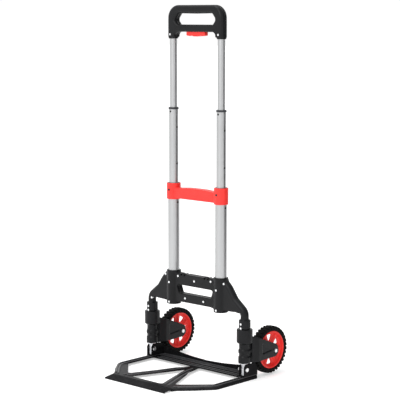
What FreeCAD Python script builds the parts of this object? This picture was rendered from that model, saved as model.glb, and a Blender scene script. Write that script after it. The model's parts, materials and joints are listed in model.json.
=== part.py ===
"""Folding aluminium hand truck with a telescopic handle.

Millimetres, +Z up, the floor at Z = 0 and the load side towards -Y.  The origin is on the
floor under the middle of the truck.  The two legs stand on the line Y = leg_y.
"""
import FreeCAD
import Part
import math
import os
import re
import Sketcher

SIZES = [
    # whole truck
    ("total_height", 1000, "top of the grip above the floor"),
    ("leg_x", 174.5, "leg axis from the middle plane"),
    ("leg_y", 40.6, "legs behind the origin"),
    ("tube_x", 88.5, "telescopic tube axis from the middle plane"),
    ("gap", 0.05, "radial clearance between fitted pieces"),
    # telescopic tubes
    ("lower_radius", 15.9, "lower tube"),
    ("lower_wall", 1.8, ""),
    ("lower_bottom", 178, ""),
    ("lower_top", 512, ""),
    ("middle_radius", 12.9, "middle tube"),
    ("middle_wall", 1.6, ""),
    ("middle_bottom", 372, ""),
    ("middle_top", 719.5, ""),
    ("upper_radius", 10, "upper tube"),
    ("upper_wall", 1.4, ""),
    ("upper_bottom", 590, ""),
    ("upper_top", 926, ""),
    ("guide_flange", 6, "flange height of the guide plugs"),
    ("plug_height", 20, "guide plug inside its tube"),
    ("lock_pin_radius", 2.5, ""),
    ("lock_pin_rise", 10, "lock pin above its tube's end"),
    ("stop_hole_radius", 2.6, "height stop holes"),
    ("rod_radius", 2, "pull rods"),
    # cross brace
    ("brace_bottom", 469, ""),
    ("brace_height", 45, ""),
    ("brace_collar_radius", 19.5, ""),
    ("brace_bar_depth", 24, ""),
    # handle
    ("socket_radius", 13, "sockets round the upper tubes"),
    ("grip_depth", 26, ""),
    ("socket_bottom", 909.5, ""),
    ("bridge_bottom", 928, "lower edge of the bar over the button"),
    ("slot_bottom", 947.7, "hand slot"),
    ("slot_top", 977.5, ""),
    ("cavity_bottom", 929, "hollow for the pull bar"),
    ("cavity_top", 945, ""),
    ("button_half_width", 34, ""),
    ("button_bottom", 916.7, ""),
    ("button_top", 930, ""),
    ("button_depth", 13, ""),
    ("button_travel", 4.5, ""),
    ("pull_bar_height", 5, ""),
    # base frame
    ("boss_radius", 20, "bosses round the lower tubes"),
    ("boss_bottom", 174.5, ""),
    ("boss_top", 270, ""),
    ("web_thickness", 22, ""),
    ("arm_radius", 11.25, "round arms"),
    ("leg_collar_radius", 15.9, ""),
    ("leg_collar_bottom", 141.3, ""),
    ("leg_collar_top", 166, ""),
    ("screw_head_radius", 2.9, ""),
    ("screw_head_height", 1.6, ""),
    ("screw_radius", 1.4, ""),
    ("screw_length", 11, ""),
    # legs, hinge bars and forks
    ("leg_radius", 9, ""),
    ("leg_wall", 1.5, ""),
    ("leg_bottom", 48.5, ""),
    ("leg_top", 168, ""),
    ("hinge_y", -4, "toe plate hinge from the legs' line"),
    ("hinge_z", 31, ""),
    ("hinge_bolt_radius", 3, ""),
    ("bar_width", 14, "silver bar between the ears"),
    ("sleeve_radius", 21.5, ""),
    ("sleeve_top", 140.8, ""),
    ("sleeve_bottom", 105, ""),
    ("column_radius", 17, ""),
    ("column_groove", 15, ""),
    ("column_bottom", 48.7, ""),
    ("fork_half_width", 23.5, ""),
    ("fork_half_gap", 19.5, ""),
    # wheels
    ("axle_y", 98.8, "wheel axis behind the leg"),
    ("axle_z", 68.5, "wheels hang just clear of the floor"),
    ("wheel_radius", 65, ""),
    ("tyre_half_width", 13.5, ""),
    ("rim_radius", 51.5, ""),
    ("axle_radius", 3, ""),
    ("bush_radius", 6, ""),
    # toe plate
    ("plate_half_width", 187.5, ""),
    ("plate_rear", 39.4, "behind the legs' line"),
    ("plate_front", 216, "in front of the legs' line"),
    ("nose_front", 245, ""),
    ("plate_height", 8, ""),
    ("sheet", 2.3, "pressed sheet thickness"),
    ("ear_inner", 165, "inner ears' inside faces"),
    ("ear_outer", 182.1, "outer ears' inside faces"),
]

SIDES = {"left": -1, "right": 1}
X_AXIS, Y_AXIS, Z_AXIS = FreeCAD.Vector(1, 0, 0), FreeCAD.Vector(0, 1, 0), FreeCAD.Vector(0, 0, 1)
TURNS = {
    "z": FreeCAD.Rotation(),
    "x": FreeCAD.Rotation(Y_AXIS, 90),
    "y": FreeCAD.Rotation(X_AXIS, -90),
    "-y": FreeCAD.Rotation(X_AXIS, 90),
}

doc = FreeCAD.newDocument("HandTruck")
sheet = doc.addObject("Spreadsheet::Sheet", "Sizes")
for row, (alias, size, note) in enumerate(SIZES, 1):
    sheet.set(f"A{row}", alias)
    sheet.set(f"B{row}", str(size))
    sheet.set(f"C{row}", note)
    sheet.setAlias(f"B{row}", alias)
doc.recompute()
ALIASES = {alias for alias, size, note in SIZES}
pieces = []


def bound(expression):
    """The expression with each alias read from the sheet."""
    return re.sub(r"[a-z_]+", lambda word: "Sizes." * (word.group() in ALIASES) + word.group(),
                  str(expression))


def value(expression):
    """The number that an expression gives now."""
    return float(sheet.evalExpression(bound(expression)))


def place(item, at, along="z"):
    """Put the item's own origin at a point, with its +Z turned along an axis."""
    item.Placement = FreeCAD.Placement(FreeCAD.Vector(), TURNS[along])
    for axis, expression in zip("xyz", at):
        item.setExpression(f"Placement.Base.{axis}", bound(expression))


def piece(item, label):
    """Name a finished sub-part; its label is its file's name."""
    item.Label = label
    pieces.append(item)
    return item


# Part primitives and booleans

def cylinder(radius, height, at, along="z"):
    item = doc.addObject("Part::Cylinder", "Cylinder")
    item.setExpression("Radius", bound(radius))
    item.setExpression("Height", bound(height))
    place(item, at, along)
    return item


def box(length, width, height, at):
    item = doc.addObject("Part::Box", "Box")
    for name, expression in zip(("Length", "Width", "Height"), (length, width, height)):
        item.setExpression(name, bound(expression))
    place(item, at)
    return item


def hexagon(radius, height, at, along="z"):
    item = doc.addObject("Part::Prism", "Prism")
    item.Polygon = 6
    item.setExpression("Circumradius", bound(radius))
    item.setExpression("Height", bound(height))
    place(item, at, along)
    return item


def cut(base, tool):
    item = doc.addObject("Part::Cut", "Cut")
    item.Base = base
    item.Tool = tool
    return item


def common(base, tool):
    item = doc.addObject("Part::Common", "Common")
    item.Base = base
    item.Tool = tool
    return item


def fuse(items):
    item = doc.addObject("Part::MultiFuse", "Fusion")
    item.Shapes = items
    return item


def group(items):
    item = doc.addObject("Part::Compound", "Group")
    item.Links = items
    return item


# Sketches: every point's place and every radius is bound to the sheet

def mirrored(half):
    """A closed outline from its right half, given from the rear or top round to the front or bottom."""
    left = [(f"-({x})", y, r) for x, y, r in reversed(half) if value(x) > 0]
    return half + left


def path(sketch, corners, closed=True, tag="corner"):
    """Straight lines through corners (x, y, radius), with an arc of that radius at each."""
    spots = [FreeCAD.Vector(value(x), value(y), 0) for x, y, r in corners]
    count = len(corners)
    ends = []
    for index, (x, y, radius) in enumerate(corners):
        size = value(radius)
        if size == 0:
            ends.append((spots[index], spots[index], None))
            continue
        before = (spots[index - 1] - spots[index]).normalize()
        after = (spots[(index + 1) % count] - spots[index]).normalize()
        half_angle = before.getAngle(after) / 2
        reach = size / math.tan(half_angle)
        middle = spots[index] + (before + after).normalize() * (size / math.sin(half_angle))
        start, end = spots[index] + before * reach, spots[index] + after * reach
        nearest = middle + (spots[index] - middle).normalize() * size
        turns_left = (nearest - start).cross(end - nearest).z > 0
        arc = Part.Arc(start, nearest, end) if turns_left else Part.Arc(end, nearest, start)
        ends.append((start, end, arc))
    lines = {}
    for index in range(count if closed else count - 1):
        start, end = ends[index][1], ends[(index + 1) % count][0]
        lines[index] = sketch.addGeometry(Part.LineSegment(start, end))
    for index, (x, y, radius) in enumerate(corners):
        into = lines.get(index - 1 if index else count - 1)
        out = lines.get(index)
        name = f"{tag}_{index}"
        arc = ends[index][2]
        if arc is None:
            if into is not None and out is not None:
                sketch.addConstraint(Sketcher.Constraint("Coincident", into, 2, out, 1))
            spot, end = (into, 2) if into is not None else (out, 1)
        else:
            curve = sketch.addGeometry(arc)
            begins = sketch.Geometry[curve].StartPoint.isEqual(ends[index][0], 1e-6)
            begin, finish = (1, 2) if begins else (2, 1)
            sketch.addConstraint(Sketcher.Constraint("Tangent", into, 2, curve, begin))
            sketch.addConstraint(Sketcher.Constraint("Tangent", curve, finish, out, 1))
            spot, end = sketch.addGeometry(Part.Point(spots[index]), True), 1
            for line in (into, out):
                sketch.addConstraint(Sketcher.Constraint("PointOnObject", spot, 1, line))
            bind(sketch, Sketcher.Constraint("Radius", curve, value(radius)), name + "_r", radius)
        bind(sketch, Sketcher.Constraint("DistanceX", -1, 1, spot, end, value(x)), name + "_x", x)
        bind(sketch, Sketcher.Constraint("DistanceY", -1, 1, spot, end, value(y)), name + "_y", y)


def bind(sketch, constraint, name, expression):
    """Add a dimension and let the sheet set it."""
    index = sketch.addConstraint(constraint)
    sketch.renameConstraint(index, name)
    sketch.setExpression("Constraints." + name, bound(expression))


def circle(sketch, x, y, radius, tag="circle"):
    centre = FreeCAD.Vector(value(x), value(y), 0)
    ring = sketch.addGeometry(Part.Circle(centre, Z_AXIS, value(radius)))
    bind(sketch, Sketcher.Constraint("Radius", ring, value(radius)), tag + "_r", radius)
    bind(sketch, Sketcher.Constraint("DistanceX", -1, 1, ring, 3, value(x)), tag + "_x", x)
    bind(sketch, Sketcher.Constraint("DistanceY", -1, 1, ring, 3, value(y)), tag + "_y", y)


# PartDesign bodies

class Body:
    """A PartDesign body: sketches on its own origin planes, and features made from them."""

    def __init__(self, name):
        self.body = doc.addObject("PartDesign::Body", name)

    def origin(self, role):
        return next(item for item in self.body.Origin.OriginFeatures if item.Role == role)

    def sketch(self, role, offset="0"):
        sketch = self.body.newObject("Sketcher::SketchObject", "Sketch")
        sketch.AttachmentSupport = (self.origin(role), [""])
        sketch.MapMode = "FlatFace"
        sketch.setExpression("AttachmentOffset.Base.z", bound(offset))
        return sketch

    def outline(self, role, corners, offset="0"):
        sketch = self.sketch(role, offset)
        path(sketch, corners)
        return sketch

    def circles(self, role, spots, offset="0"):
        sketch = self.sketch(role, offset)
        for index, (x, y, radius) in enumerate(spots):
            circle(sketch, x, y, radius, f"circle_{index}")
        return sketch

    def feature(self, kind, sketch, **settings):
        """Add a feature and check that it changed the solid the way its kind should."""
        before = self.volume()
        item = self.body.newObject("PartDesign::" + kind, kind)
        item.Profile = sketch
        for name, setting in settings.items():
            if isinstance(setting, str) and name.startswith("Length"):
                item.setExpression(name, bound(setting))
            else:
                setattr(item, name, setting)
        doc.recompute()
        change = self.volume() - before
        removes = kind in ("Pocket", "Groove")
        if change * (-1 if removes else 1) <= 0:
            raise RuntimeError(f"{self.body.Name}: {item.Name} changed nothing")
        return item

    def volume(self):
        return self.body.Shape.Volume if self.body.Tip else 0.0

    def pad(self, sketch, length, **settings):
        return self.feature("Pad", sketch, Length=length, **settings)

    def slab(self, sketch, thickness):
        return self.pad(sketch, thickness, SideType="Symmetric")

    def pocket(self, sketch, length, **settings):
        return self.feature("Pocket", sketch, Length=length, **settings)

    def slot(self, sketch, thickness):
        return self.pocket(sketch, thickness, SideType="Symmetric")

    def rounded(self, radius, chosen):
        """Round the tip's edges whose middles are chosen."""
        tip = self.body.Tip
        edges = [f"Edge{number}" for number, edge in enumerate(tip.Shape.Edges, 1)
                 if chosen(edge.valueAt((edge.FirstParameter + edge.LastParameter) / 2))]
        item = self.body.newObject("PartDesign::Fillet", "Fillet")
        item.Base = (tip, edges)
        item.setExpression("Radius", bound(radius))
        doc.recompute()

    def spin(self, sketch, axis="V_Axis"):
        return self.feature("Revolution", sketch, ReferenceAxis=(sketch, [axis]), Angle=360)


def turned(name, profile, at, axis="V_Axis"):
    """A body turned from a profile: (radius, height) about Z, or (length, radius) about X."""
    body = Body(name)
    body.spin(body.outline("XZ_Plane", [(a, b, "0") for a, b in profile]), axis)
    place(body.body, at)
    return body


def tube(radius, wall, bottom, top, at):
    """A round tube, open at both ends."""
    outside = cylinder(radius, f"{top} - {bottom}", (at[0], at[1], bottom))
    inside = cylinder(f"{radius} - {wall}", f"{top} - {bottom} + 2", (at[0], at[1], f"{bottom} - 1"))
    return cut(outside, inside)


def screws(spots, length="screw_length", room="0"):
    """Pan-head screws driven towards +Y; spots are (x, y of the seat, z); room widens them."""
    items = []
    for x, y, z in spots:
        head = cylinder(f"screw_head_radius + {room}", f"screw_head_height + 4 * {room}",
                        (x, f"{y} - screw_head_height - 4 * {room}", z), "y")
        shank = cylinder(f"screw_radius + {room}", f"{length} + {room}", (x, y, z), "y")
        items.append(fuse([head, shank]))
    return items


def both_sides(spots):
    """Each spot (x, y, z) and its mirror image; a spot on the middle plane stays alone."""
    mirror = [(f"-({x})", y, z) for x, y, z in spots if value(x) > 0]
    return spots + mirror


# Base frame: two moulded shells that hold the tubes and the legs

def base_frame():
    frame = Body("BaseFrame")
    frame.slab(frame.outline("XZ_Plane", mirrored([
        ("0", "263", "0"), ("70", "264", "0"), ("78", "268", "0"), ("106", "268", "0"),
        ("120", "240", "20"), ("150", "211", "30"), ("172", "190", "8"), ("172", "181.5", "0"),
        ("150", "184", "6"), ("106", "182", "0"), ("70", "182", "0"), ("60", "184.5", "6"),
        ("0", "184.5", "0")])), "web_thickness")
    frame.pad(frame.circles("XY_Plane", [("tube_x", "0", "boss_radius"), ("-tube_x", "0", "boss_radius")],
                            "boss_bottom"), "boss_top - boss_bottom")
    for side in SIDES.values():
        spine = frame.sketch("XZ_Plane")
        path(spine, [(f"{side} * {x}", z, r) for x, z, r in (
            ("leg_x", "leg_collar_bottom + 4", "0"), ("leg_x", "186", "20"), ("139", "214", "34"),
            ("119", "243", "30"), ("102", "270 - arm_radius", "0"))], closed=False)
        ring = frame.circles("XY_Plane", [(f"{side} * leg_x", "0", "arm_radius")], "leg_collar_bottom + 4")
        frame.feature("AdditivePipe", ring, Spine=spine)
    frame.pad(frame.circles("XY_Plane", [("leg_x", "0", "leg_collar_radius"),
                                         ("-leg_x", "0", "leg_collar_radius")], "leg_collar_bottom"),
              "leg_collar_top - leg_collar_bottom")
    frame.slot(frame.outline("XZ_Plane", mirrored([
        ("0", "232", "0"), ("68.4", "232", "5"), ("60", "208.5", "5"), ("0", "208.5", "0")])), "80")
    for x in ("38", "50"):
        for side in SIDES.values():
            notch = [("-2.2", "257", "2"), ("2.2", "257", "2"), ("3.4", "266", "0"), ("-3.4", "266", "0")]
            corners = [(f"{side} * {x} + ({a})", z, r) for a, z, r in notch]
            frame.slot(frame.outline("XZ_Plane", corners), "80")
    frame.pocket(frame.circles("XY_Plane", [("tube_x", "0", "lower_radius + gap"),
                                            ("-tube_x", "0", "lower_radius + gap")], "lower_bottom"),
                 "100", Reversed=True)
    frame.pocket(frame.circles("XY_Plane", [("leg_x", "0", "leg_radius + gap"),
                                            ("-leg_x", "0", "leg_radius + gap")], "leg_collar_bottom - 1"),
                 "leg_top + 1 - leg_collar_bottom", Reversed=True)
    place(frame.body, ("0", "leg_y", "0"))

    face = "leg_y - web_thickness / 2"
    boss_face = "leg_y - boss_radius + 1"
    arm_face = "leg_y - arm_radius + 1"
    collar_face = "leg_y - leg_collar_radius + 0.8"
    spots = both_sides([
        ("0", face, "248.6"), ("61.5", face, "256"), ("34.5", face, "196.5"), ("109.4", face, "256"),
        ("leg_x - 9", arm_face, "181")])
    short_spots = both_sides([
        ("tube_x", boss_face, "181"), ("tube_x", boss_face, "236.5"), ("leg_x", collar_face, "144.5"),
        ("leg_x", collar_face, "155.7")])
    holes = group(screws(spots, room="0.1") + screws(short_spots, "2.5", "0.1"))
    half = box("500", "100", "300", ("-250", "leg_y - 100", "100"))
    piece(cut(common(frame.body, half), holes), "base_frame_front")
    piece(cut(cut(frame.body, half), holes), "base_frame_rear")
    piece(group(screws(spots) + screws(short_spots, "2.5")), "base_frame_screws")


# Telescopic tubes, their collars, guides and lock pins

def lower_tube(name, x):
    body = tube("lower_radius", "lower_wall", "lower_bottom", "lower_top", (x, "leg_y"))
    lock_hole = cylinder("lock_pin_radius + 0.3", "20", (x, "leg_y", "middle_bottom + lock_pin_rise"), "y")
    stop = cylinder("stop_hole_radius", "20", (x, "leg_y", "460"), "x")
    piece(cut(body, fuse([lock_hole, stop])), f"lower_tube_{name}")
    bush = turned("GuideBush", [
        ("middle_radius + gap", "lower_top - 22"), ("lower_radius - lower_wall - gap", "lower_top - 22"),
        ("lower_radius - lower_wall - gap", "lower_top + gap"), ("lower_radius - gap", "lower_top + gap"),
        ("lower_radius - gap", "lower_top + 2"), ("middle_radius + gap", "lower_top + 2")],
        (x, "leg_y", "0"))
    piece(bush.body, f"lower_guide_{name}")


def middle_tube(name, x):
    body = tube("middle_radius", "middle_wall", "middle_bottom", "middle_top", (x, "leg_y"))
    holes = [
        cylinder("lock_pin_radius + 0.3", "20", (x, "leg_y", "upper_bottom + lock_pin_rise"), "y"),
        cylinder("lock_pin_radius + 0.2", "20", (x, "leg_y", "middle_bottom + lock_pin_rise"), "y"),
        cylinder("stop_hole_radius", "20", (x, "leg_y", "711"), "-y"),
        cylinder("stop_hole_radius", "20", (x, "leg_y", "568"), "x"),
        cylinder("stop_hole_radius", "20", (x, "leg_y", "668"), "x")]
    piece(cut(body, fuse(holes)), f"middle_tube_{name}")
    collar = turned("Collar", [
        ("upper_radius + gap", "middle_top - 3"), ("middle_radius - middle_wall - gap", "middle_top - 3"),
        ("middle_radius - middle_wall - gap", "middle_top + gap"),
        ("middle_radius + gap", "middle_top + gap"),
        ("middle_radius + gap", "middle_top - 2.5"), ("middle_radius + 1.1", "middle_top - 2.5"),
        ("middle_radius + 1.1", "middle_top + 2"), ("middle_radius", "middle_top + 3"),
        ("upper_radius + gap", "middle_top + 3")], (x, "leg_y", "0"))
    piece(collar.body, f"middle_collar_{name}")
    plug("middle", name, x, "middle_radius - middle_wall", "lower_radius - lower_wall", "middle_bottom", "0")
    lock_pin("middle", name, x, "lower_radius - lower_wall", "middle_bottom")


def upper_tube(name, x):
    body = tube("upper_radius", "upper_wall", "upper_bottom", "upper_top", (x, "leg_y"))
    holes = [
        cylinder("lock_pin_radius + 0.2", "20", (x, "leg_y", "upper_bottom + lock_pin_rise"), "y"),
        cylinder("screw_radius + 0.1", "20", (x, "leg_y", "921"), "-y")]
    piece(cut(body, fuse(holes)), f"upper_tube_{name}")
    plug("upper", name, x, "upper_radius - upper_wall", "middle_radius - middle_wall", "upper_bottom",
         "rod_radius + 0.4")
    lock_pin("upper", name, x, "middle_radius - middle_wall", "upper_bottom")


def plug(stage, name, x, own_bore, outer_bore, bottom, rod_bore):
    """The guide plug in a tube's lower end, which runs in the tube outside it."""
    body = turned("Plug", [
        ("0", f"{bottom} - guide_flange"), (f"{outer_bore} - 2 * gap", f"{bottom} - guide_flange"),
        (f"{outer_bore} - 2 * gap", f"{bottom} - gap"), (f"{own_bore} - gap", f"{bottom} - gap"),
        (f"{own_bore} - gap", f"{bottom} + plug_height"), ("0", f"{bottom} + plug_height")],
        (x, "leg_y", "0"))
    level = f"{bottom} + lock_pin_rise"
    room = cylinder("lock_pin_radius + gap", "20", (x, "leg_y - 0.5", level), "y")
    if value(rod_bore) > 0:
        room = fuse([room, cylinder(rod_bore, "20", (x, "leg_y", f"{level} + 4"))])
    piece(cut(body.body, room), f"{stage}_plug_{name}")


def lock_pin(stage, name, x, outer_bore, bottom):
    """A lock pin, drawn back far enough to run inside the outer tube."""
    pin = cylinder("lock_pin_radius", f"{outer_bore} - 2.3",
                   (x, "leg_y + 2", f"{bottom} + lock_pin_rise"), "y")
    piece(pin, f"{stage}_lock_pin_{name}")


# Cross brace round the tops of the lower tubes

def cross_brace():
    brace = Body("CrossBrace")
    middle = "brace_bottom + brace_height / 2"
    brace.slab(brace.outline("XZ_Plane", mirrored([
        ("0", f"{middle} + 12.5", "0"), ("30", f"{middle} + 12.2", "120"), ("72", f"{middle} + 9", "0"),
        ("tube_x", f"{middle} + 9", "0"), ("tube_x", "472.5", "0"), ("0", "472.5", "0")])),
        "brace_bar_depth")
    brace.pad(brace.circles("XY_Plane", [("tube_x", "0", "brace_collar_radius"),
                                         ("-tube_x", "0", "brace_collar_radius")], "brace_bottom"),
              "brace_height")
    brace.pocket(brace.circles("XY_Plane", [("tube_x", "0", "lower_radius + gap"),
                                            ("-tube_x", "0", "lower_radius + gap")], "brace_bottom - 1"),
                 "lower_top + 3 - brace_bottom + 1", Reversed=True)
    place(brace.body, ("0", "leg_y", "0"))
    spots = both_sides([("tube_x", "leg_y - brace_collar_radius + 0.6", "495.5")])
    holes = group(screws(spots, "1.8", "0.1"))
    piece(cut(brace.body, holes), "cross_brace")
    piece(group(screws(spots, "1.8")), "brace_screws")


# Handle: two shells, the release button and its pull bar and rods

def handle():
    grip = Body("Handle")
    grip.slab(grip.outline("XZ_Plane", mirrored([
        ("0", "total_height", "0"), ("tube_x + 12", "total_height", "35"),
        ("tube_x + socket_radius", "960", "40"), ("tube_x + socket_radius", "bridge_bottom - 14", "0"),
        ("tube_x - socket_radius", "bridge_bottom - 14", "0"),
        ("tube_x - socket_radius", "bridge_bottom", "12"), ("0", "bridge_bottom", "0")])), "grip_depth")
    grip.rounded("10", lambda spot: abs(spot.y) > 12 and (abs(spot.x) > 90 or spot.z > 990))
    grip.rounded("4", lambda spot: abs(spot.y) > 12 and abs(spot.x) < 80 and spot.z < 929)
    grip.pad(grip.circles("XY_Plane", [("tube_x", "0", "socket_radius"), ("-tube_x", "0", "socket_radius")],
                          "socket_bottom"), "bridge_bottom + 12 - socket_bottom")
    grip.slot(grip.outline("XZ_Plane", mirrored([
        ("0", "slot_top - 1", "0"), ("62", "slot_top", "7"), ("75", "961", "8"),
        ("64", "slot_bottom", "6"), ("0", "slot_bottom", "0")])), "grip_depth + 2")
    grip.rounded("8", lambda spot: abs(spot.y) > 12 and abs(spot.x) < 76 and 940 < spot.z < 985)
    grip.slot(grip.outline("XZ_Plane", mirrored([
        ("0", "cavity_top", "0"), ("tube_x + 7", "cavity_top", "0"), ("tube_x + 7", "cavity_bottom", "0"),
        ("0", "cavity_bottom", "0")])), "12")
    grip.slot(grip.outline("XZ_Plane", mirrored([
        ("0", "button_top + button_travel + 1.5", "0"),
        ("button_half_width + 0.4", "button_top + button_travel + 1.5", "0"),
        ("button_half_width + 0.4", "bridge_bottom - 1", "0"), ("0", "bridge_bottom - 1", "0")])),
        "button_depth + 0.8")
    grip.pocket(grip.circles("XY_Plane", [("tube_x", "0", "upper_radius + gap"),
                                          ("-tube_x", "0", "upper_radius + gap")], "socket_bottom - 1"),
                "upper_top + gap + 1 - socket_bottom", Reversed=True)
    grip.pocket(grip.circles("XY_Plane", [("tube_x", "0", "6"), ("-tube_x", "0", "6")], "upper_top - 1"),
                "5", Reversed=True)
    place(grip.body, ("0", "leg_y", "0"))
    spots = both_sides([("tube_x", "leg_y - grip_depth / 2 + 0.6", "921")])
    holes = group(screws(spots, "6", "0.1"))
    half = box("300", "100", "150", ("-150", "leg_y - 100", "880"))
    piece(cut(common(grip.body, half), holes), "handle_front")
    piece(cut(grip.body, half), "handle_rear")
    piece(group(screws(spots, "6")), "handle_screws")

    button = Body("Button")
    button.slab(button.outline("XZ_Plane", mirrored([
        ("0", "button_top", "0"), ("button_half_width", "button_top", "0"),
        ("button_half_width", "button_bottom + 1.5", "3"), ("22", "button_bottom", "4"),
        ("15", "button_bottom + 1.6", "6"), ("8", "button_bottom - 0.8", "4"),
        ("0", "button_bottom - 0.8", "0")])),
        "button_depth")
    place(button.body, ("0", "leg_y", "0"))
    piece(button.body, "release_button")

    bar = box("2 * tube_x + 8", "8", "pull_bar_height", ("-tube_x - 4", "leg_y - 4", "button_top"))
    piece(bar, "pull_bar")
    rods = [cylinder("rod_radius", "button_top - upper_bottom - lock_pin_rise - 6",
                     (f"{side} * tube_x", "leg_y", "upper_bottom + lock_pin_rise + 6"))
            for side in SIDES.values()]
    piece(group(rods), "pull_rods")
    springs = [spring(f"{side} * 28") for side in SIDES.values()]
    piece(group(springs), "button_springs")


def spring(x):
    """A return spring as a thin sleeve between the pull bar and the roof of the hollow."""
    foot = "button_top + pull_bar_height + 0.05"
    height = "cavity_top - button_top - pull_bar_height - 0.1"
    return cut(cylinder("3", height, (x, "leg_y", foot)), cylinder("2.2", height, (x, "leg_y", foot)))


# Legs and hinge bars

def leg(name, x):
    piece(tube("leg_radius", "leg_wall", "leg_bottom", "leg_top", (x, "leg_y")), f"leg_tube_{name}")
    bar = Body("HingeBar")
    bar.slab(bar.outline("YZ_Plane", [
        ("-7", "12", "3"), ("6", "12", "3"), ("6", "leg_bottom - 1", "0"), ("-7", "leg_bottom - 1", "0")]),
        "bar_width")
    bar.pad(bar.outline("XY_Plane", [
        ("-10", "-15.5", "3"), ("10", "-15.5", "3"), ("10", "15.5", "3"), ("-10", "15.5", "3")],
        "leg_bottom - 2"), "2 - gap")
    bar.pad(bar.circles("XY_Plane", [("0", "0", "leg_radius - leg_wall - gap")], "leg_bottom - 1"), "25")
    bar.slot(bar.circles("YZ_Plane", [("hinge_y", "hinge_z", "hinge_bolt_radius + gap")]), "30")
    place(bar.body, (x, "leg_y", "0"))
    piece(bar.body, f"hinge_bar_{name}")


def hinge_bolt(name, side):
    """Hex bolt from the outside, through both ears and the bar, with its nut inside."""
    level = ("leg_y + hinge_y", "hinge_z")
    start = f"{side} * leg_x - 13.9"
    shank = cylinder("hinge_bolt_radius", "27.8", (start, *level), "x")
    outer = f"leg_x * {side} + {10 if side > 0 else -14}"
    head = hexagon("5.8", "4", (outer, *level), "x")
    piece(fuse([shank, head]), f"hinge_bolt_{name}")
    inner = f"leg_x * {side} + {-14.2 if side > 0 else 9.7}"
    bore = cylinder("hinge_bolt_radius + gap", "10", (f"{inner} - 2", *level), "x")
    piece(cut(hexagon("5.8", "4.5", (inner, *level), "x"), bore), f"hinge_nut_{name}")


# Swivel forks and wheels

def fork(name, side):
    x = f"{side} * leg_x"
    body = Body("Fork")
    body.slab(body.outline("YZ_Plane", [
        ("12", "121", "0"), ("34", "114.5", "20"), ("axle_y + 12", "83.5", "16"),
        ("axle_y + 17", "62", "12"), ("axle_y + 4", "51.5", "10"), ("44", "49.2", "0"),
        ("12", "column_bottom", "0")]), "2 * fork_half_width")
    for face in (1, -1):
        flare = [(f"{face} * ({a})", y, "0") for a, y in (
            ("column_radius", "11"), ("fork_half_width + 1", "11"), ("fork_half_width + 1", "36"))]
        body.slot(body.outline("XY_Plane", flare, "80"), "90")
    body.spin(body.outline("XZ_Plane", [(r, z, "0") for r, z in (
        ("leg_radius + 0.1", "column_bottom"), ("column_radius", "column_bottom"), ("column_radius", "65"),
        ("column_groove", "68"), ("column_groove", "74"), ("column_radius", "76.4"),
        ("column_radius", "83.4"), ("column_groove", "86.5"), ("column_groove", "100.4"),
        ("sleeve_radius", "sleeve_bottom"), ("sleeve_radius", "sleeve_top"),
        ("leg_radius + 0.1", "sleeve_top"))]))
    body.slot(body.outline("XY_Plane", [
        ("-fork_half_gap", "26", "0"), ("fork_half_gap", "26", "0"), ("fork_half_gap", "130", "0"),
        ("-fork_half_gap", "130", "0")], "85"), "90")
    dish = [("46", "98", "3"), ("90", "71", "2"), ("46", "66", "3")]
    for face in (1, -1):
        body.slot(body.outline("YZ_Plane", dish, f"{face} * fork_half_width"), "3.2")
    body.slot(body.circles("YZ_Plane", [("axle_y", "axle_z", "axle_radius + gap")]), "60")
    place(body.body, (x, "leg_y", "0"))
    piece(body.body, f"fork_{name}")


def wheel(name, side):
    hub = (f"{side} * leg_x", "leg_y + axle_y", "axle_z")
    rim = turned("Rim", [
        ("-15.5", "bush_radius + gap"), ("15.5", "bush_radius + gap"), ("15.5", "12"), ("13", "13.5"),
        ("4", "16"), ("2.5", "20"), ("2.5", "42"), ("4.5", "45.5"), ("11.5", "47.5"),
        ("12.3", "rim_radius - 1.5"), ("11.5", "rim_radius"), ("-11.5", "rim_radius"),
        ("-12.3", "rim_radius - 1.5"), ("-11.5", "47.5"), ("-4.5", "45.5"), ("-2.5", "42"), ("-2.5", "20"),
        ("-4", "16"),
        ("-13", "13.5"), ("-15.5", "12")], hub, "H_Axis")
    first = 60 if side < 0 else 90
    angles = [math.radians(first + turn) for turn in (-7, -14, 14, 7)]
    radii = ("24", "42", "42", "24")
    window = rim.outline("YZ_Plane", [
        (f"{radius} * {math.cos(angle):.4f}", f"{radius} * {math.sin(angle):.4f}", "2.5")
        for angle, radius in zip(angles, radii)])
    pocket = rim.slot(window, "20")
    pattern = rim.body.newObject("PartDesign::PolarPattern", "Windows")
    pattern.Originals = [pocket]
    pattern.Axis = (rim.origin("X_Axis"), [""])
    pattern.Angle = 360
    pattern.Occurrences = 6
    rim.body.Tip = pattern
    doc.recompute()
    piece(rim.body, f"wheel_rim_{name}")
    tyre = turned("Tyre", [
        ("-11.5", "rim_radius + gap"), ("11.5", "rim_radius + gap"), ("tyre_half_width", "55"),
        ("tyre_half_width", "61"), ("11", "wheel_radius - 0.6"), ("5", "wheel_radius"),
        ("-5", "wheel_radius"), ("-11", "wheel_radius - 0.6"), ("-tyre_half_width", "61"),
        ("-tyre_half_width", "55")], hub, "H_Axis")
    piece(tyre.body, f"tyre_{name}")
    bushes = []
    for face in (1, -1):
        profile = [("2", "axle_radius + gap"), ("18.5", "axle_radius + gap"), ("18.5", "9.5"),
                   ("15.6", "9.5"), ("15.6", "bush_radius"), ("2", "bush_radius")]
        bushes.append(turned("Bush", [(f"{face} * {a}", r) for a, r in profile], hub, "H_Axis").body)
    piece(group(bushes), f"hub_bushes_{name}")


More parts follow.
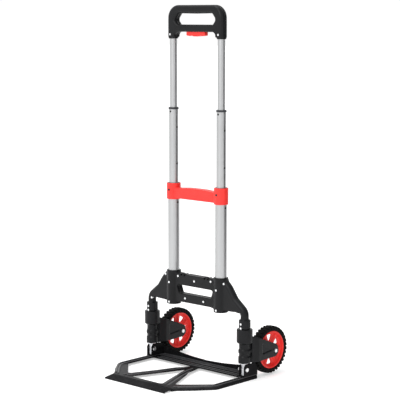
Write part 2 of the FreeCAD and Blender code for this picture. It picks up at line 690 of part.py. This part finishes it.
def axle(name, side):
    """Axle bolt with its head outside, and its nut on the fork's inner face."""
    centre = ("leg_y + axle_y", "axle_z")
    outer, inner = (23.6, -27.6) if side > 0 else (-27.6, 23.6)
    shank = cylinder("axle_radius", "54", (f"{side} * leg_x - 27", *centre), "x")
    head = hexagon("5.4", "4", (f"{side} * leg_x + {outer}", *centre), "x")
    piece(fuse([shank, head]), f"axle_bolt_{name}")
    start = f"{side} * leg_x + {inner}"
    bore = cylinder("axle_radius + gap", "8", (f"{start} - 2", *centre), "x")
    piece(cut(hexagon("5.4", "4", (start, *centre), "x"), bore), f"axle_nut_{name}")


# Toe plate: a pressed sheet with three openings, and the folded rail that hinges it

def sheet_outline(sketch):
    """The plate seen from above, with its two side openings and the middle one."""
    path(sketch, mirrored([
        ("0", "plate_rear", "0"), ("plate_half_width", "plate_rear", "3"),
        ("plate_half_width", "-124", "25"), ("152", "-168", "0"), ("118", "-204", "8"),
        ("112", "-plate_front", "0"), ("0", "-plate_front", "0")]))
    for side in SIDES.values():
        side_hole = [("163", "-8", "6"), ("163", "-107", "10"), ("88", "-181", "7"), ("60", "-124", "0"),
                     ("31", "-64", "0"), ("15", "-8", "4")]
        path(sketch, [(f"{side} * {x}", y, r) for x, y, r in side_hole], tag=f"side_{side + 1}")
    path(sketch, mirrored([("0", "-46", "0"), ("17", "-92", "0"), ("58", "-198", "6"), ("0", "-198", "0")]),
         tag="middle")


def pressed(height, inset):
    """The plate's outline raised to a height, drawn in on every side by an inset."""
    sketch = doc.addObject("Sketcher::SketchObject", "PlateSketch")
    sheet_outline(sketch)
    source = sketch
    if inset:
        source = doc.addObject("Part::Offset2D", "Inset")
        source.Source = sketch
        source.Join = "Intersection"
        source.setExpression("Value", bound(f"-{inset}"))
    solid = doc.addObject("Part::Extrusion", "Pressed")
    solid.Base = source
    solid.DirMode = "Custom"
    solid.Dir = Z_AXIS
    solid.setExpression("LengthFwd", bound(height))
    solid.Solid = True
    return solid


def toe_plate():
    skin = cut(pressed("plate_height", None), pressed("plate_height - sheet", "sheet"))
    lip = Body("Lip")
    lip.slab(lip.outline("YZ_Plane", [
        ("-plate_front + 0.01", "plate_height", "0"), ("-nose_front", "3.4", "0"), ("-nose_front", "0", "0"),
        ("-nose_front + sheet", "0", "0"), ("-nose_front + sheet", "1.9", "0"),
        ("-plate_front + 0.01", "plate_height - sheet", "0")]), "227")
    whole = fuse([skin, lip.body])
    place(whole, ("0", "leg_y", "0"))
    rivet_holes = rivets("0.05")
    piece(cut(whole, group(rivet_holes)), "toe_plate")
    rail = Body("Rail")
    rail.slab(rail.outline("XZ_Plane", mirrored([
        ("0", "17.5", "0"), ("60", "20", "300"), ("115", "25.5", "300"), ("ear_inner + 1", "33", "0"),
        ("ear_inner + 1", "plate_height + gap", "0"), ("0", "plate_height + gap", "0")]),
        "-plate_rear - 1.3"), "2.6")
    rail.pad(rail.outline("XY_Plane", mirrored([
        ("0", "plate_rear + 1", "0"), ("ear_inner + 1", "plate_rear + 1", "0"), ("ear_inner + 1", "20", "0"),
        ("0", "20", "0")]), "plate_height + gap"), "2")
    ear = [("-13", "plate_height + gap", "0"), ("-13", "38", "6"), ("-7", "45.2", "5"), ("27", "45.2", "5"),
           ("plate_rear + 2.6", "24", "8"), ("plate_rear + 2.6", "plate_height + gap", "0")]
    outer_ear = ear[1:3] + [
        ("33", "45.2", "5"), ("plate_rear + 3", "31", "5"), ("plate_rear + 3", "plate_height + gap", "0"),
        ("-13", "plate_height + gap", "0")]
    for side in SIDES.values():
        rail.slab(rail.outline("YZ_Plane", ear, f"{side} * (ear_inner + sheet / 2)"), "sheet")
        bridge = [("ear_inner + 1", "plate_rear - 2"), ("ear_outer + 1", "plate_rear - 2"),
                  ("ear_outer + 1", "plate_rear + 2.6"), ("ear_inner + 1", "plate_rear + 2.6")]
        rail.pad(rail.outline("XY_Plane", [(f"{side} * ({x})", y, "0") for x, y in bridge],
                              "plate_height + gap"), "8")
        rail.slab(rail.outline("YZ_Plane", outer_ear, f"{side} * (ear_outer + sheet / 2)"), "sheet")
    rail.slot(rail.circles("YZ_Plane", [("hinge_y", "hinge_z", "hinge_bolt_radius + gap")]), "400")
    place(rail.body, ("0", "leg_y", "0"))
    piece(cut(rail.body, group(rivets("0.05"))), "hinge_rail")
    piece(group(rivets("0")), "toe_rivets")


def rivets(room):
    """Rivets that hold the rail's foot down on the plate."""
    items = []
    for x in ("-140", "-84", "-28", "28", "84", "140"):
        shank = cylinder(f"2 + {room}", "5.9", (x, "leg_y + 29", "plate_height - 3.2"))
        head = cylinder(f"3.6 + {room}", "1.2", (x, "leg_y + 29", "plate_height + 2.1"))
        tail = cylinder(f"3 + {room}", "1.2", (x, "leg_y + 29", "plate_height - sheet - 1.2"))
        items.append(fuse([shank, head, tail]))
    return items


base_frame()
cross_brace()
handle()
for side_name, side_sign in SIDES.items():
    tube_axis = f"{side_sign} * tube_x"
    lower_tube(side_name, tube_axis)
    middle_tube(side_name, tube_axis)
    upper_tube(side_name, tube_axis)
    leg(side_name, f"{side_sign} * leg_x")
    hinge_bolt(side_name, side_sign)
    fork(side_name, side_sign)
    wheel(side_name, side_sign)
    axle(side_name, side_sign)
toe_plate()
doc.recompute()

for item in doc.Objects:
    if "Invalid" in item.State or "Error" in item.State:
        raise RuntimeError(f"{item.Label} ({item.TypeId}) failed: {item.State}")
for item in pieces:
    if item.Shape.isNull() or not item.Shape.isValid() or not item.Shape.Solids:
        raise RuntimeError(f"{item.Label} has no valid solid")

os.makedirs("parts", exist_ok=True)
for item in pieces:
    item.Shape.exportStep(f"parts/{item.Label}.step")
    print(f"{item.Label}: {len(item.Shape.Solids)} solid(s), {item.Shape.Volume / 1000:.1f} cm3")
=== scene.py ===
"""Looks of the folding hand truck: finishes for every part, moulded shells, wheels and toe plate."""
import json
import math

import bmesh
import bpy
import numpy as np
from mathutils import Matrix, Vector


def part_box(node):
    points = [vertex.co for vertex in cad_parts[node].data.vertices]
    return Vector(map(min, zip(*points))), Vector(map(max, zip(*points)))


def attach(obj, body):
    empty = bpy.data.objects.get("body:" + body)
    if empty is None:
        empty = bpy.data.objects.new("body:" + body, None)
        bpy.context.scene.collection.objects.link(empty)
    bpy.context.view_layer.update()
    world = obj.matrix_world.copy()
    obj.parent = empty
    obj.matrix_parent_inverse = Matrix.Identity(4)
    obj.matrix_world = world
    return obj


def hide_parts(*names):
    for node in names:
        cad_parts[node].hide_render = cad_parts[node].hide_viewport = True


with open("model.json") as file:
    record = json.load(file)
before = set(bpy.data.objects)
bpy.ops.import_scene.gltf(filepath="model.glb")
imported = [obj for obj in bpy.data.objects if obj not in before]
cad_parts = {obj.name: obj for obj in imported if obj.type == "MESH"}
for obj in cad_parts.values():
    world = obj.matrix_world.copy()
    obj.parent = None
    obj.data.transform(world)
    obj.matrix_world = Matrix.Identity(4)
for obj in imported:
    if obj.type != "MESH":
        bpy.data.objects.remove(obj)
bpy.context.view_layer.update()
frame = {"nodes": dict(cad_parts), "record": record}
nodes = frame["nodes"]
slot_of = {part["node"]: part["material_slot"] for part in frame["record"]["subparts"]}
SIDES = {"left": -1, "right": 1}


def middle_of(node):
    """The middle of a node's box at rest."""
    low, high = (np.array(corner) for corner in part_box(node))
    return (low + high) / 2


LEG_X, LEG_Y = middle_of("leg_tube_right")[:2]
TUBE_X = middle_of("lower_tube_right")[0]
HUB_Y, HUB_Z = middle_of("tyre_right")[1:]
SHEET_TOP = 0.008                                   # the toe plate's flats
LIP_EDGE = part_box("toe_plate")[0][1] + 0.029        # where the plate's front lip starts, in Y
VOXEL = 0.0012            # the quads of a moulding's skin


# Camera, lights and floor

def stand_camera():
    """A long lens at handle height, in front of the truck and to its right."""
    data = bpy.data.cameras.new("camera")
    data.lens = 126.05
    data.sensor_width = 36
    data.shift_x = 0.0072
    data.shift_y = 0.0013
    camera = bpy.data.objects.new("camera", data)
    camera.location = (2.5929, LEG_Y - 2.7604, 0.9746)
    camera.rotation_euler = (math.radians(82.431), 0, math.radians(43.2076))
    bpy.context.scene.collection.objects.link(camera)
    bpy.context.scene.camera = camera


def area_light(name, place, target, size, power):
    """A rectangular lamp in watts, aimed from its place at the target."""
    data = bpy.data.lights.new(name, "AREA")
    data.shape = "RECTANGLE"
    data.size, data.size_y = size
    data.energy = power
    lamp = bpy.data.objects.new(name, data)
    lamp.location = place
    direction = np.array(target) - np.array(place)
    yaw = math.atan2(direction[1], direction[0]) - math.pi / 2
    pitch = math.atan2(direction[2], math.hypot(direction[0], direction[1])) + math.pi / 2
    lamp.rotation_euler = (pitch, 0, yaw)
    bpy.context.scene.collection.objects.link(lamp)


def light_studio():
    """A white, even room, with one large soft key in front of the truck and a smaller one above it."""
    bpy.context.scene.view_settings.view_transform = "Standard"
    world = bpy.data.worlds.new("studio")
    bpy.context.scene.world = world
    world.use_nodes = True
    room = world.node_tree.nodes["Background"]
    room.inputs["Color"].default_value = (1, 1, 1, 1)
    room.inputs["Strength"].default_value = 1.02
    area_light("key", place=(0.2, -3.4, 2.6), target=(0, 0, 0.5), size=(1.2, 2.2), power=48)
    area_light("top", place=(-0.6, -0.6, 3.4), target=(0, 0, 0.3), size=(1.2, 1.2), power=22)


def stage_sheet(name, corners, finish):
    """A flat four-cornered part of the studio."""
    mesh = bpy.data.meshes.new(name)
    mesh.from_pydata(corners, [], [(0, 1, 2, 3)])
    mesh.materials.append(finish)
    item = bpy.data.objects.new(name, mesh)
    bpy.context.scene.collection.objects.link(item)


def set_stage():
    """A wide pale floor just under the truck, and a dark card that stands out of view on the right."""
    reach, floor_z, card_top = 30, -0.0002, 2
    near_foot, far_foot = (1.25, 0.35), (0.60, 1.25)
    stage_sheet("floor", [(x, y, floor_z) for x, y in (
        (-reach, -reach), (reach, -reach), (reach, reach), (-reach, reach))], studio_floor())
    stage_sheet("card", [(*near_foot, 0), (*far_foot, 0), (*far_foot, card_top), (*near_foot, card_top)],
                dark_card())


# Shader helpers

class Wire:
    """A number socket that can be used in plain arithmetic; every operation adds a Math node."""

    def __init__(self, tree, socket):
        self.tree = tree
        self.socket = socket

    def apply(self, operation, first, second):
        node = self.tree.nodes.new("ShaderNodeMath")
        node.operation = operation
        for entry, value in zip(node.inputs, (first, second)):
            if isinstance(value, Wire):
                self.tree.links.new(value.socket, entry)
            else:
                entry.default_value = value
        return Wire(self.tree, node.outputs[0])

    def __add__(self, other):
        return self.apply("ADD", self, other)

    def __radd__(self, other):
        return self.apply("ADD", other, self)

    def __sub__(self, other):
        return self.apply("SUBTRACT", self, other)

    def __rsub__(self, other):
        return self.apply("SUBTRACT", other, self)

    def __mul__(self, other):
        return self.apply("MULTIPLY", self, other)

    def __rmul__(self, other):
        return self.apply("MULTIPLY", other, self)

    def __pow__(self, other):
        return self.apply("POWER", self, other)


class Finish:
    """One material: its nodes, and the shader that they feed."""

    def __init__(self, name, **shader):
        self.material = bpy.data.materials.new(name)
        self.material.use_nodes = True
        self.tree = self.material.node_tree
        self.shader = self.tree.nodes["Principled BSDF"]
        for entry, value in shader.items():
            self.shader.inputs[entry.replace("_", " ")].default_value = value
        self.spot = self.node("TexCoord").outputs["Object"]

    def wire(self, socket):
        return Wire(self.tree, socket)

    def node(self, kind, settings=(), **inputs):
        """Any node: its settings first, then the value or the link of each input."""
        node = self.tree.nodes.new("ShaderNode" + kind)
        for name, value in dict(settings).items():
            setattr(node, name, value)
        for name, value in inputs.items():
            entry = node.inputs[name.replace("_", " ")]
            if isinstance(value, Wire):
                value = value.socket
            if isinstance(value, bpy.types.NodeSocket):
                self.tree.links.new(value, entry)
            else:
                entry.default_value = value
        return node

    def stretched(self, scale):
        """The place on the piece, scaled by a factor for each axis."""
        return self.node("Mapping", Vector=self.spot, Scale=scale).outputs[0]

    def noise(self, scale, detail=3.0, vector=None, roughness=0.5):
        """Cloudy noise from 0 to 1, with so many swells to the metre."""
        node = self.node("TexNoise", Vector=vector or self.spot, Scale=scale, Detail=detail,
                         Roughness=roughness)
        return self.wire(node.outputs["Fac"])

    def cells(self, scale):
        """Round cells: 0 at each cell's middle, rising towards its border."""
        return self.wire(self.node("TexVoronoi", Vector=self.spot, Scale=scale).outputs["Distance"])

    def mix(self, factor, dark, light):
        """A colour between two, by a factor.  The Mix node's sockets share names, so they go by number."""
        node = self.node("Mix", {"data_type": "RGBA"})
        self.tree.links.new(factor.socket, node.inputs[0])
        node.inputs[6].default_value = (*dark, 1)
        node.inputs[7].default_value = (*light, 1)
        return node.outputs[2]

    def ramp(self, value, start, end):
        """0 before the start, 1 after the end, straight between them."""
        node = self.node("MapRange", Value=value, From_Min=start, From_Max=end)
        return self.wire(node.outputs["Result"])

    def feed(self, entry, value):
        """Link a value or a colour to one of the shader's inputs."""
        socket = value.socket if isinstance(value, Wire) else value
        self.tree.links.new(socket, self.shader.inputs[entry])

    def bump(self, height, depth, strength=1.0):
        """Relief of a height from 0 to 1 and a depth in metres."""
        node = self.node("Bump", Height=height, Distance=depth, Strength=strength)
        self.tree.links.new(node.outputs[0], self.shader.inputs["Normal"])


# Finishes

def satin_aluminium():
    """Drawn and anodised tube: long fine streaks along Z over a soft cloudiness."""
    finish = Finish("satin_aluminium", Metallic=1.0)
    streaks = finish.noise(1.0, 4.0, finish.stretched((900, 900, 9)), 0.6)
    clouds = finish.noise(14.0, 2.0)
    tone = streaks * 0.55 + clouds * 0.45
    finish.feed("Base Color", finish.mix(tone, (0.40, 0.405, 0.41), (0.52, 0.525, 0.53)))
    finish.feed("Roughness", streaks * 0.16 + clouds * 0.08 + 0.26)
    finish.bump(streaks, 0.00003, 0.6)
    return finish.material


def moulded_plastic(name, dark, light, roughness, grain_depth, gloss=0.1, coat=0.0):
    """Spark-eroded grain over slow changes of tone; rubbed high spots are smoother and paler."""
    finish = Finish(name, Coat_Weight=coat, Coat_Roughness=0.25, Specular_IOR_Level=gloss)
    grain = finish.noise(2600.0, 2.0)
    pits = finish.cells(1500.0)
    clouds = finish.noise(22.0, 4.0)
    scuffs = finish.noise(90.0, 6.0, finish.stretched((1, 1, 0.35)), 0.7) ** 4.0
    finish.feed("Base Color", finish.mix(clouds * 0.7 + scuffs * 1.3, dark, light))
    finish.feed("Roughness", roughness - 0.07 + grain * 0.08 + clouds * 0.1 - scuffs * 0.25)
    finish.bump(grain * 0.6 + pits * 0.4, grain_depth, 0.8)
    return finish.material


def powder_coat():
    """Black powder coat: orange peel, and a grip of dimples near the plate's front, behind its lip.

    Along the crests of the plate's beads, found by their height over its flats, the colour is painted paler
    as a painted sheen, and the coat is heavier and the roughness lower, so they are glossier.
    """
    finish = Finish("black_powder_coat", Specular_IOR_Level=0.0, Coat_Roughness=0.35)
    place = finish.node("SeparateXYZ", Vector=finish.spot)
    along, height = finish.wire(place.outputs["Y"]), finish.wire(place.outputs["Z"]) - SHEET_TOP
    grip = finish.ramp(along, -0.055, -0.085)
    lip = finish.ramp(along, LIP_EDGE + 0.0054, LIP_EDGE + 0.0004)
    peel = finish.noise(950.0, 2.0)
    dimples = finish.cells(170.0)
    clouds = finish.noise(18.0, 3.0)
    rubs = finish.noise(1.0, 6.0, finish.stretched((60, 14, 60)), 0.65) ** 5.0
    # The bead crests: this mask pales the colour as a painted sheen, and adds coat and takes off roughness,
    # which is real gloss.
    bead_tops_painted_sheen_and_gloss = finish.ramp(height, 0.0008, 0.0024) * (1.0 - finish.ramp(height, 0.0032, 0.0036))
    upper_face = finish.ramp(height, -0.0012, -0.0004)
    # Across the grip strip the dimples pale the colour: their pattern is real, the paleness is a painted
    # sheen.
    tone = clouds * 0.15 + rubs + bead_tops_painted_sheen_and_gloss * 0.8 + dimples * grip * 0.25
    finish.feed("Base Color", finish.mix(tone, (0.0012, 0.0012, 0.0015), (0.060, 0.060, 0.064)))
    finish.feed("Coat Weight", 0.1 + (bead_tops_painted_sheen_and_gloss * 0.5 + grip * 0.35) * upper_face * (1.0 - lip))
    finish.feed("Roughness", 0.42 + clouds * 0.12 + rubs * 0.4 - bead_tops_painted_sheen_and_gloss * 0.12)
    finish.bump(peel * 0.25 + dimples * grip * 0.75, 0.0005, 0.6)
    return finish.material


def zinc_plate(name, tone, roughness):
    """Bright zinc plating with fine crystals and a slightly cloudy passivation."""
    finish = Finish(name, Metallic=1.0)
    crystals = finish.cells(900.0)
    clouds = finish.noise(120.0, 4.0)
    dark = tuple(channel * 0.82 for channel in tone)
    finish.feed("Base Color", finish.mix(clouds * 0.7 + crystals * 0.3, dark, tone))
    finish.feed("Roughness", roughness + clouds * 0.12)
    finish.bump(crystals, 0.00002, 0.5)
    return finish.material


def tyre_rubber():
    """Matt black rubber with a little floor dust held on its rougher spots."""
    finish = Finish("tyre_rubber", Specular_IOR_Level=0.08)
    grain = finish.noise(1400.0, 3.0)
    dust = finish.noise(60.0, 6.0, roughness=0.7) ** 3.0
    finish.feed("Base Color", finish.mix(dust * 1.6, (0.002, 0.002, 0.002), (0.022, 0.021, 0.020)))
    finish.feed("Roughness", 0.62 + dust * 0.5 + grain * 0.06)
    finish.bump(grain, 0.00015, 0.6)
    return finish.material


def studio_floor():
    """Pale, faintly uneven paper that glows a little, so that shadows on it stay soft."""
    finish = Finish("studio_floor", Roughness=0.8, Emission_Color=(1, 1, 1, 1), Emission_Strength=0.45)
    finish.feed("Base Color", finish.mix(finish.noise(3.0, 2.0), (0.78, 0.78, 0.78), (0.8, 0.8, 0.8)))
    return finish.material


def dark_card():
    """Matt black card, which the tubes reflect as a dark streak."""
    finish = Finish("dark_card", Roughness=0.9)
    finish.feed("Base Color", finish.mix(finish.noise(3.0, 2.0), (0.01, 0.01, 0.01), (0.02, 0.02, 0.02)))
    return finish.material


FINISHES = {
    "tube_aluminium": satin_aluminium(),
    "red_plastic": moulded_plastic("red_plastic", (0.74, 0.020, 0.016), (0.95, 0.046, 0.036), 0.40,
                                   grain_depth=0.00004, gloss=0.3, coat=0.06),
    "tyre": tyre_rubber(),
    "black_steel": powder_coat(),
    "zinc_steel": zinc_plate("zinc_steel", (0.72, 0.73, 0.76), 0.30),
    "leg_steel": moulded_plastic("leg_steel", (0.02, 0.02, 0.022), (0.05, 0.05, 0.055), 0.35,
                                 grain_depth=0.00003),
    "guide_plastic": moulded_plastic("guide_plastic", (0.03, 0.031, 0.034), (0.07, 0.072, 0.078), 0.5,
                                     grain_depth=0.00004),
    "fastener_steel": zinc_plate("fastener_steel", (0.90, 0.91, 0.92), 0.24),
    "spring_steel": zinc_plate("spring_steel", (0.55, 0.55, 0.56), 0.35),
    "black_plastic": moulded_plastic("black_plastic", (0.0018, 0.0019, 0.0022), (0.009, 0.0095, 0.0112), 0.36,
                                     grain_depth=0.00009, gloss=0.2),
}


# Mesh helpers

def add_piece(name, vertices, faces, body, slot, replaces=(), smooth_angle=38):
    """A finished piece from vertices in metres: it rides on a body and wears its slot's finish."""
    mesh = bpy.data.meshes.new(name)
    mesh.from_pydata(np.asarray(vertices).tolist(), [], [tuple(map(int, face)) for face in faces])
    mesh.validate()
    return finish_piece(name, mesh, body, slot, replaces, smooth_angle)


def finish_piece(name, mesh, body, slot, replaces=(), smooth_angle=38):
    """Dress a mesh in its slot's finish, shade it smooth under the angle, and hang it on its body."""
    mesh.materials.clear()
    mesh.materials.append(FINISHES[slot])
    mesh.shade_smooth()
    mesh.set_sharp_from_angle(angle=math.radians(smooth_angle))
    piece = bpy.data.objects.new(name, mesh)
    bpy.context.scene.collection.objects.link(piece)
    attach(piece, body)
    if replaces:
        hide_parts(*replaces)
    return piece


def ring_faces(rows, columns):
    """Quads of a grid whose columns run round a closed ring."""
    row, column = np.meshgrid(np.arange(rows - 1), np.arange(columns), indexing="ij")
    row_next, column_next = row + 1, (column + 1) % columns
    quads = [row * columns + column, row * columns + column_next,
             row_next * columns + column_next, row_next * columns + column]
    return np.stack(quads, axis=-1).reshape(-1, 4)


def moulded(node, body, voxel, passes, relief=None):
    """A moulding's or pressing's skin: the part's solid rebuilt in small even quads, then relaxed.

    Every pass moves a vertex halfway to its neighbours' mean, which rounds outer edges and fills
    inner corners by about the same radius, as a tool does.  relief, where there is one, takes all
    the vertices and returns them moved.
    """
    source = bmesh.new()
    source.from_mesh(nodes[node].data)
    bmesh.ops.remove_doubles(source, verts=source.verts, dist=1e-6)
    mesh = bpy.data.meshes.new(node + "_merged")
    source.to_mesh(mesh)
    source.free()
    rough = bpy.data.objects.new(node + "_rough", mesh)
    bpy.context.scene.collection.objects.link(rough)
    remesh = rough.modifiers.new("even quads", "REMESH")
    remesh.mode = "VOXEL"
    remesh.voxel_size = voxel
    relax = rough.modifiers.new("relax", "SMOOTH")
    relax.factor = 0.5
    relax.iterations = passes
    shape = bpy.data.meshes.new_from_object(rough.evaluated_get(bpy.context.evaluated_depsgraph_get()))
    bpy.data.objects.remove(rough)
    bpy.data.meshes.remove(mesh)
    if relief:
        spots = np.empty(len(shape.vertices) * 3)
        shape.vertices.foreach_get("co", spots)
        shape.vertices.foreach_set("co", relief(spots.reshape(-1, 3)).ravel())
    return finish_piece(node + "_skin", shape, body, slot_of[node], (node,), smooth_angle=60)


# Pieces

def distance_to(spots, line):
    """Distance in X and Y of each spot from a line of straight pieces: the least over its pieces."""
    best = np.full(len(spots), np.inf)
    for start, end in zip(line[:-1], line[1:]):
        start, run = np.array(start), np.array(end) - np.array(start)
        share = np.clip((spots[:, :2] - start) @ run / (run @ run), 0, 1)
        nearest = start + share[:, None] * run
        best = np.minimum(best, np.linalg.norm(spots[:, :2] - nearest, axis=1))
    return best


def bead_lines():
    """Each bead of the toe plate as its line and its rise, with Y from the leg's middle.

    The two runners that meet in a V carry a pair each, the outer frame carries a pair along each
    side, and the rear bar carries two straight ones.
    """
    runner = ((0.018, -0.030), (0.024, -0.066), (0.038, -0.110), (0.066, -0.176), (0.076, -0.200))
    runner_shift, runner_rise = 0.0068, 0.0028
    frame_side = ((0.1815, 0.020), (0.1815, -0.118), (0.175, -0.134), (0.151, -0.162), (0.118, -0.196))
    inner_shift = -0.0125
    bar_half, bar_rise = 0.150, 0.0026
    lines = []
    for side in SIDES.values():
        for shift in (-runner_shift, runner_shift):
            lines.append(([(side * (x + shift), y) for x, y in runner], runner_rise))
        for shift, rise in ((0, 0.0028), (inner_shift, 0.0026)):
            lines.append(([(side * (x + shift), y + shift * 0.4) for x, y in frame_side], rise))
    for y in (-0.003, 0.009):
        lines.append(([(-bar_half, y), (bar_half, y)], bar_rise))
    return lines


def rolled_beads(spots):
    """Beads pressed up in the sheet: z rises by h (1 - (d / w)^2)^2 at distance d from a bead's line."""
    half_width = 0.0045
    flat = spots - (0, LEG_Y, 0)
    rise = np.zeros(len(spots))
    for line, height in bead_lines():
        near = np.clip(distance_to(flat, line) / half_width, 0, 1)
        rise = np.maximum(rise, height * (1 - near ** 2) ** 2)
    share = np.clip((spots[:, 2] - SHEET_TOP + 0.0035) / 0.0012, 0, 1)
    return spots + np.stack([0 * rise, 0 * rise, rise * share], axis=-1)


def rim_ribs(side):
    """The relief of a wheel's web: a rib between each two windows.

    A vertex at radius r moves out by h exp(-(r sin(3 a) / 3 w)^2), a being its angle from a rib's
    line, and the rib fades in past the boss and out before the rim's ring.
    """
    rib_height, rib_width = 0.0045, 0.0020
    boss_radius, ring_radius = 0.014, 0.0460
    start = math.pi / 6 if side < 0 else math.pi / 3

    def relief(spots):
        local = spots - (side * LEG_X, HUB_Y, HUB_Z)
        across = np.abs(local[:, 0])
        radius = np.hypot(local[:, 1], local[:, 2])
        angle = np.arctan2(local[:, 2], local[:, 1]) + start
        away = radius * np.abs(np.sin(3 * angle)) / 3
        web = np.clip((radius - boss_radius) / 0.004, 0, 1) * np.clip((ring_radius - radius) / 0.002, 0, 1)
        web = web * np.clip((across - 0.0012) / 0.001, 0, 1)
        out = rib_height * np.exp(-(away / rib_width) ** 2) * web
        return spots + np.stack([np.sign(local[:, 0]) * out, 0 * out, 0 * out], axis=-1)
    return relief


def detent_button(name, body, centre, direction):
    """A black button in a tube's hole: a dome of x = h cos(a), r = w sin(a), with x along the direction."""
    height, half_width = 0.0012, 0.0030
    rings, columns = 9, 24
    angle, turn = np.meshgrid(np.linspace(0.02, math.pi / 2, rings),
                              np.linspace(0, 2 * math.pi, columns, endpoint=False), indexing="ij")
    out, wide = height * np.cos(angle), half_width * np.sin(angle)
    forward = np.array([*direction, 0], dtype=float)
    across = np.array([-forward[1], forward[0], 0])
    up = np.array([0, 0, 1])
    grid = (np.array(centre) + out[..., None] * forward + (wide * np.cos(turn))[..., None] * across
            + (wide * np.sin(turn))[..., None] * up)
    faces = [tuple(face) for face in ring_faces(rings, columns)]
    tip = tuple(range(columns - 1, -1, -1))
    foot = tuple(range((rings - 1) * columns, rings * columns))
    add_piece(name, grid.reshape(-1, 3), [face[::-1] for face in (*faces, tip, foot)], body, "black_plastic")


def detent_buttons(side_name, side):
    """One button on the front of each middle tube's top, and three down the tubes' right."""
    middle_radius, lower_radius = 0.0126, 0.0156
    x = side * TUBE_X
    detent_button(f"detent_top_{side_name}", "middle_stage", (x, LEG_Y - middle_radius, 0.711), (0, -1))
    for place, body, height, radius in (("upper", "middle_stage", 0.668, middle_radius),
                                        ("middle", "middle_stage", 0.568, middle_radius),
                                        ("lower", "frame", 0.460, lower_radius)):
        detent_button(f"detent_{place}_{side_name}", body, (x + radius, LEG_Y, height), (1, 0))


def tyre(name, side):
    """Treaded tyre: a section (x, radius) turned about the axle, cut by grooves.

    The radius at angle t drops by a smooth square wave of t across the shoulders, half a lug
    apart on the two sides, and by a zigzag line near the middle of the tread.
    """
    lugs, columns_per_lug = 34, 14
    shoulder_depth, zigzag_depth = 0.0030, 0.0016
    zigzag_swing, zigzag_width = 0.0016, 0.0009
    slant = 260
    half_section = np.array([
        (-0.0113, 0.0516), (-0.0128, 0.0528), (-0.0135, 0.0560), (-0.0135, 0.0590), (-0.0133, 0.0612),
        (-0.0127, 0.0630), (-0.0115, 0.0641), (-0.0095, 0.0646), (-0.0072, 0.0648), (-0.0055, 0.0649),
        (-0.0035, 0.0650), (-0.0012, 0.0650)])
    section = np.concatenate([half_section, half_section[::-1] * (-1, 1), half_section[:1]])
    fine = np.linspace(0, len(section) - 1, 70)
    x, radius = (np.interp(fine, np.arange(len(section)), line)[:, None] for line in section.T)
    angle = np.linspace(0, 2 * math.pi, lugs * columns_per_lug, endpoint=False)[None, :]
    phase = lugs * angle + np.where(x > 0, 0, math.pi) + slant * np.abs(x)
    shoulder = np.clip((np.abs(x) - 0.0052) / 0.0015, 0, 1) * np.clip((radius - 0.0545) / 0.003, 0, 1)
    groove = shoulder / (1 + np.exp(9 * (np.cos(phase) + 0.35)))
    zigzag = np.exp(-((x - zigzag_swing * np.sin(lugs * angle)) / zigzag_width) ** 2)
    grown = radius - shoulder_depth * groove - zigzag_depth * zigzag
    pinched = x * (1 - 0.07 * groove)
    grid = np.stack([pinched, grown * np.cos(angle), grown * np.sin(angle)], axis=-1).reshape(-1, 3)
    faces = ring_faces(len(fine), lugs * columns_per_lug)[:, ::-1]
    add_piece(f"tyre_{name}_tread", grid + (side * LEG_X, HUB_Y, HUB_Z), faces, f"wheel_{name}", "tyre",
              (f"tyre_{name}",), 50)


def dress_cad():
    """Every part shown as designed wears its slot's finish; the brace's screws are blackened."""
    for node, item in nodes.items():
        item.data.materials.clear()
        item.data.materials.append(FINISHES["leg_steel" if node == "brace_screws" else slot_of[node]])


stand_camera()
light_studio()
set_stage()
dress_cad()
for shell in ("base_frame_front", "base_frame_rear", "cross_brace"):
    moulded(shell, "frame", VOXEL, 5)
for shell in ("handle_front", "handle_rear"):
    moulded(shell, "upper_stage", VOXEL, 6)
moulded("release_button", "button", VOXEL * 0.7, 4)
for side_name, side_sign in SIDES.items():
    moulded(f"fork_{side_name}", f"fork_{side_name}", VOXEL, 4)
    moulded(f"wheel_rim_{side_name}", f"wheel_{side_name}", VOXEL, 2, rim_ribs(side_sign))
    tyre(side_name, side_sign)
    detent_buttons(side_name, side_sign)
moulded("toe_plate", "toe", 0.0011, 2, rolled_beads)
moulded("hinge_rail", "toe", 0.0010, 2)
